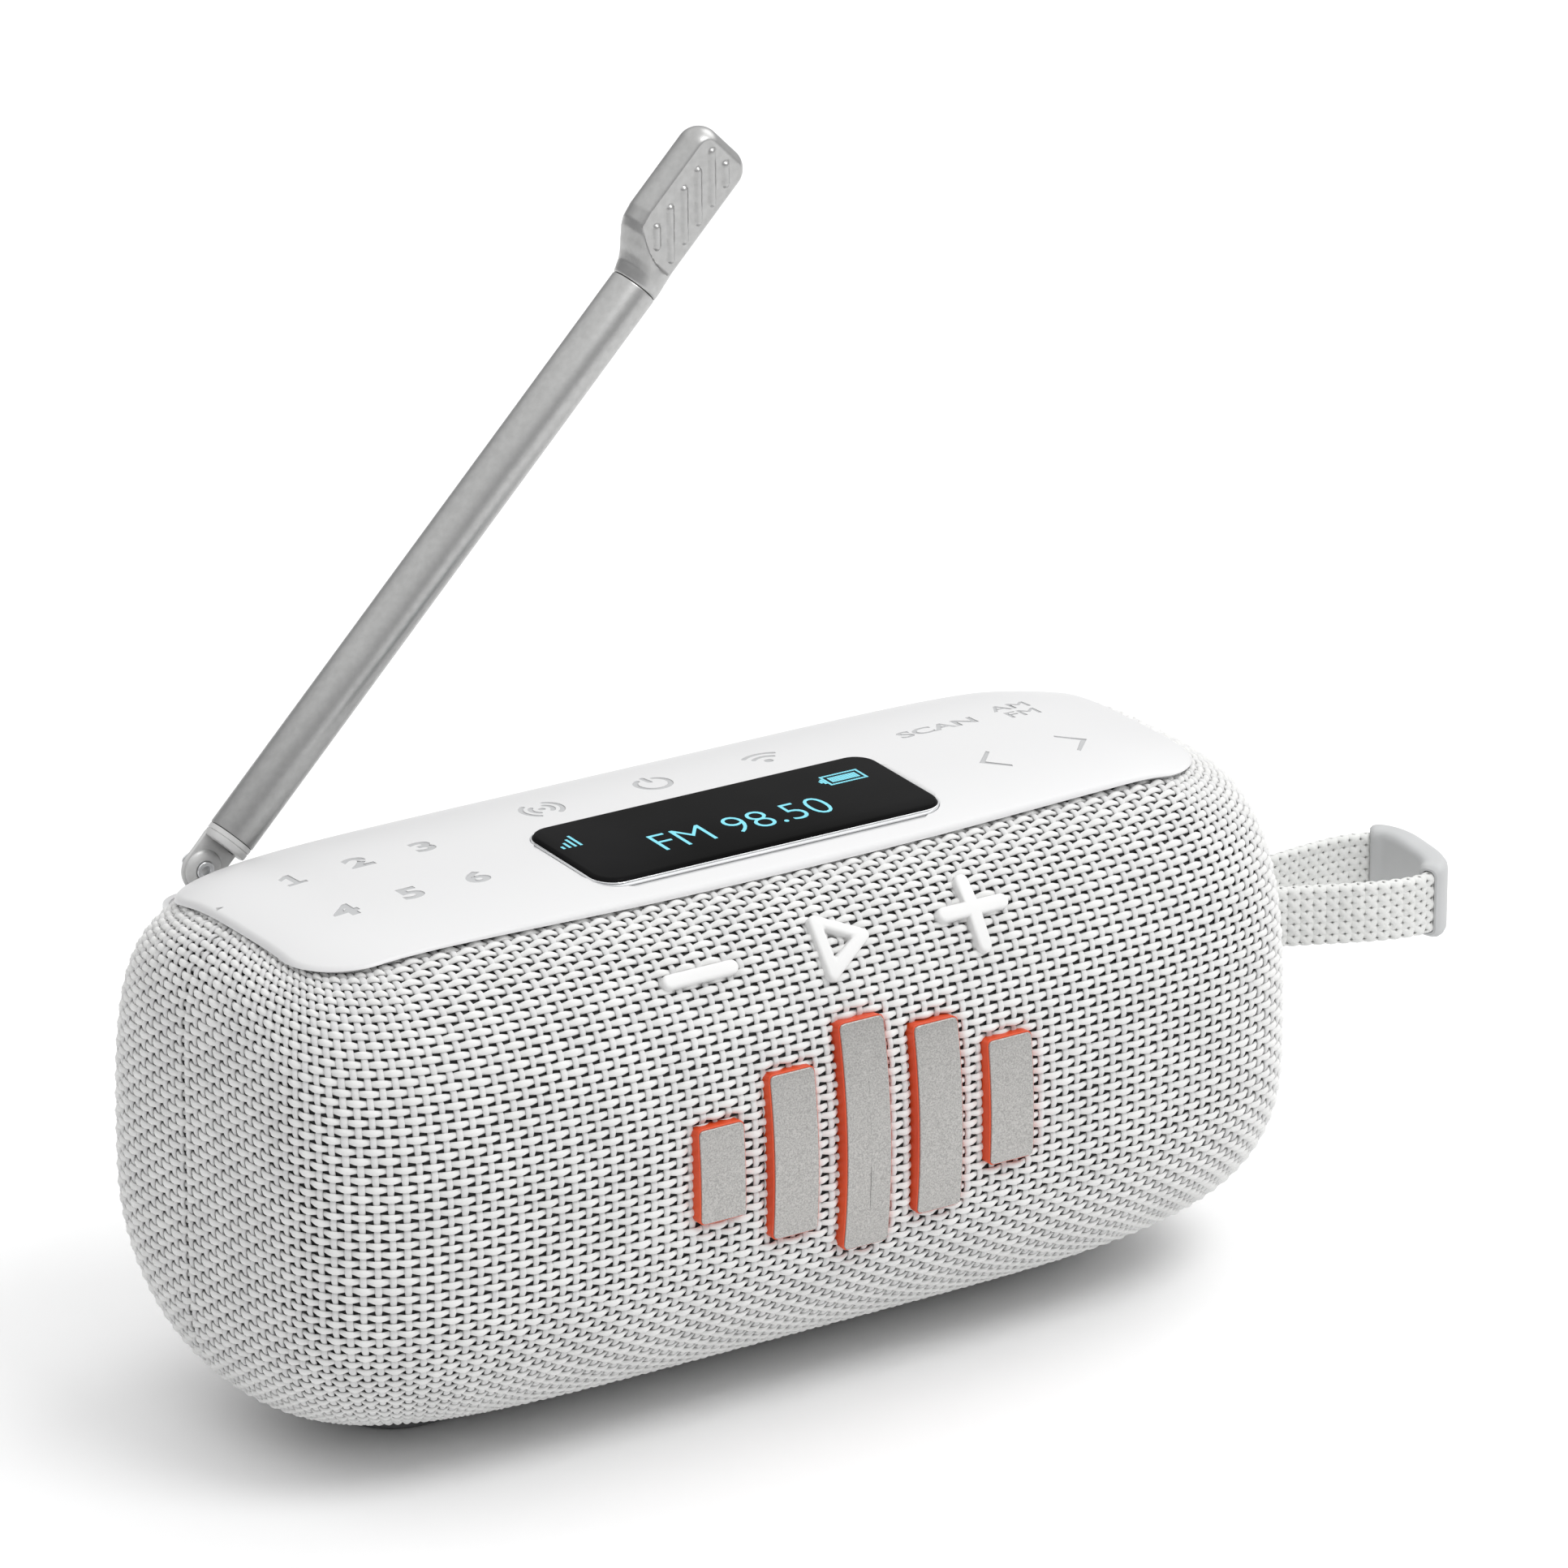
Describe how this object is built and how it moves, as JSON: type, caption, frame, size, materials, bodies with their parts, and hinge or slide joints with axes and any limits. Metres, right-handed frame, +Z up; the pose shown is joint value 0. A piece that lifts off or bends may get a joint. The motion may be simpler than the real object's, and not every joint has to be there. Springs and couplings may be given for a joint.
{
  "type": "tabletop radio",
  "caption": "Portable fabric-covered radio with a key panel and display on top, a folding telescopic antenna and a carry loop.",
  "frame": {"origin": "on the resting surface, under the body's centre", "axes": "+X along the body towards the carry loop, the speaker front faces -Y, +Z up"},
  "size_m": [0.2301, 0.0878, 0.1787],
  "materials": {
    "woven_fabric": "white plain weave with thick floats",
    "housing_plastic": "moulded, unseen under the fabric",
    "black_rubber": "foam gasket",
    "steel": "plated",
    "panel_plastic": "white satin",
    "display_black": "black gloss with cyan segments",
    "key_plastic": "light grey satin",
    "key_rubber": "white satin",
    "circuit_board": "solder mask",
    "black_plastic": "moulded",
    "emblem_orange": "orange-red sides",
    "emblem_silver": "silver flake",
    "battery_cell": "sleeved steel cell, standing in for a cell's mean density",
    "cone_plastic": "pressed cone",
    "surround_rubber": "soft roll",
    "magnet": "plated ring magnet",
    "sole_rubber": "light grey",
    "antenna_metal": "fine matte silver",
    "rivet_chrome": "bright",
    "webbing": "off-white braid",
    "clasp_rubber": "light grey satin"
  },
  "bodies": {
    "case": {"fabric_front": "woven_fabric", "fabric_rear": "woven_fabric", "front_housing": "housing_plastic", "rear_housing": "housing_plastic", "housing_seal": "black_rubber", "housing_screws": "steel", "top_panel": "panel_plastic", "display_window": "display_black", "display_gasket": "black_rubber", "display_module": "display_black", "top_key_board": "circuit_board", "top_switches": "black_plastic", "front_key_board": "circuit_board", "front_switches": "black_plastic", "emblem_base": "emblem_orange", "emblem_faces": "emblem_silver", "main_board": "circuit_board", "board_components": "circuit_board", "battery": "battery_cell", "battery_cradle": "housing_plastic", "driver_basket": "steel", "driver_cone": "cone_plastic", "driver_surround": "surround_rubber", "driver_magnet": "magnet", "driver_dust_cap": "cone_plastic", "radiator_surround": "surround_rubber", "radiator_plate": "black_plastic", "usb_socket": "steel", "sole": "sole_rubber", "antenna_channel": "panel_plastic", "strap_pin": "steel"},
    "key_1": {"key_1": "key_plastic"},
    "key_2": {"key_2": "key_plastic"},
    "key_3": {"key_3": "key_plastic"},
    "key_4": {"key_4": "key_plastic"},
    "key_5": {"key_5": "key_plastic"},
    "key_6": {"key_6": "key_plastic"},
    "key_broadcast": {"key_broadcast": "key_plastic"},
    "key_power": {"key_power": "key_plastic"},
    "key_wireless": {"key_wireless": "key_plastic"},
    "key_scan": {"key_scan": "key_plastic"},
    "key_band": {"key_band": "key_plastic"},
    "key_previous": {"key_previous": "key_plastic"},
    "key_next": {"key_next": "key_plastic"},
    "key_volume_down": {"key_volume_down": "key_rubber"},
    "key_play": {"key_play": "key_rubber"},
    "key_volume_up": {"key_volume_up": "key_rubber"},
    "antenna_turret": {"antenna_turret": "antenna_metal", "antenna_rivet": "rivet_chrome"},
    "antenna_mast": {"antenna_knuckle": "antenna_metal", "antenna_tube": "antenna_metal"},
    "antenna_stage_2": {"antenna_section_2": "antenna_metal"},
    "antenna_stage_3": {"antenna_section_3": "antenna_metal"},
    "antenna_tip": {"antenna_rod": "antenna_metal", "antenna_grip": "antenna_metal"},
    "carry_loop": {"strap_webbing": "webbing", "strap_clasp": "clasp_rubber"}
  },
  "joints": [
    {"name": "key_1_press", "type": "slide", "parent": "case", "child": "key_1", "axis": [0, 0, -1], "range_m": [0, 0.00035], "stiffness_N_per_m": 1500},
    {"name": "key_2_press", "type": "slide", "parent": "case", "child": "key_2", "axis": [0, 0, -1], "range_m": [0, 0.00035], "stiffness_N_per_m": 1500},
    {"name": "key_3_press", "type": "slide", "parent": "case", "child": "key_3", "axis": [0, 0, -1], "range_m": [0, 0.00035], "stiffness_N_per_m": 1500},
    {"name": "key_4_press", "type": "slide", "parent": "case", "child": "key_4", "axis": [0, 0, -1], "range_m": [0, 0.00035], "stiffness_N_per_m": 1500},
    {"name": "key_5_press", "type": "slide", "parent": "case", "child": "key_5", "axis": [0, 0, -1], "range_m": [0, 0.00035], "stiffness_N_per_m": 1500},
    {"name": "key_6_press", "type": "slide", "parent": "case", "child": "key_6", "axis": [0, 0, -1], "range_m": [0, 0.00035], "stiffness_N_per_m": 1500},
    {"name": "key_broadcast_press", "type": "slide", "parent": "case", "child": "key_broadcast", "axis": [0, 0, -1], "range_m": [0, 0.00035], "stiffness_N_per_m": 1500},
    {"name": "key_power_press", "type": "slide", "parent": "case", "child": "key_power", "axis": [0, 0, -1], "range_m": [0, 0.00035], "stiffness_N_per_m": 1500},
    {"name": "key_wireless_press", "type": "slide", "parent": "case", "child": "key_wireless", "axis": [0, 0, -1], "range_m": [0, 0.00035], "stiffness_N_per_m": 1500},
    {"name": "key_scan_press", "type": "slide", "parent": "case", "child": "key_scan", "axis": [0, 0, -1], "range_m": [0, 0.00035], "stiffness_N_per_m": 1500},
    {"name": "key_band_press", "type": "slide", "parent": "case", "child": "key_band", "axis": [0, 0, -1], "range_m": [0, 0.00035], "stiffness_N_per_m": 1500},
    {"name": "key_previous_press", "type": "slide", "parent": "case", "child": "key_previous", "axis": [0, 0, -1], "range_m": [0, 0.00035], "stiffness_N_per_m": 1500},
    {"name": "key_next_press", "type": "slide", "parent": "case", "child": "key_next", "axis": [0, 0, -1], "range_m": [0, 0.00035], "stiffness_N_per_m": 1500},
    {"name": "key_volume_down_press", "type": "slide", "parent": "case", "child": "key_volume_down", "axis": [0, 0.7694, -0.6388], "range_m": [0, 0.00035], "stiffness_N_per_m": 1500},
    {"name": "key_play_press", "type": "slide", "parent": "case", "child": "key_play", "axis": [0, 0.7694, -0.6388], "range_m": [0, 0.00035], "stiffness_N_per_m": 1500},
    {"name": "key_volume_up_press", "type": "slide", "parent": "case", "child": "key_volume_up", "axis": [0, 0.7694, -0.6388], "range_m": [0, 0.00035], "stiffness_N_per_m": 1500},
    {"name": "antenna_turn", "type": "hinge", "parent": "case", "child": "antenna_turret", "pos_m": [-0.0692, 0.0343, 0.07], "axis": [0, 0, 1], "range_deg": [0, 180]},
    {"name": "antenna_fold", "type": "hinge", "parent": "antenna_turret", "child": "antenna_mast", "pos_m": [-0.0692, 0.032, 0.0788], "axis": [0, -1, 0], "range_deg": [-45.6, 44.4]},
    {"name": "antenna_pull_1", "type": "slide", "parent": "antenna_mast", "child": "antenna_stage_2", "axis": [0.6997, 0, 0.7145], "range_m": [0, 0.084]},
    {"name": "antenna_pull_2", "type": "slide", "parent": "antenna_stage_2", "child": "antenna_stage_3", "axis": [0.6997, 0, 0.7145], "range_m": [0, 0.084]},
    {"name": "antenna_pull_3", "type": "slide", "parent": "antenna_stage_3", "child": "antenna_tip", "axis": [0.6997, 0, 0.7145], "range_m": [0, 0.084]},
    {"name": "carry_loop_swing", "type": "hinge", "parent": "case", "child": "carry_loop", "pos_m": [0.085, 0.0105, 0.043], "axis": [0, 0, 1], "range_deg": [-12, 34]}
  ]
}
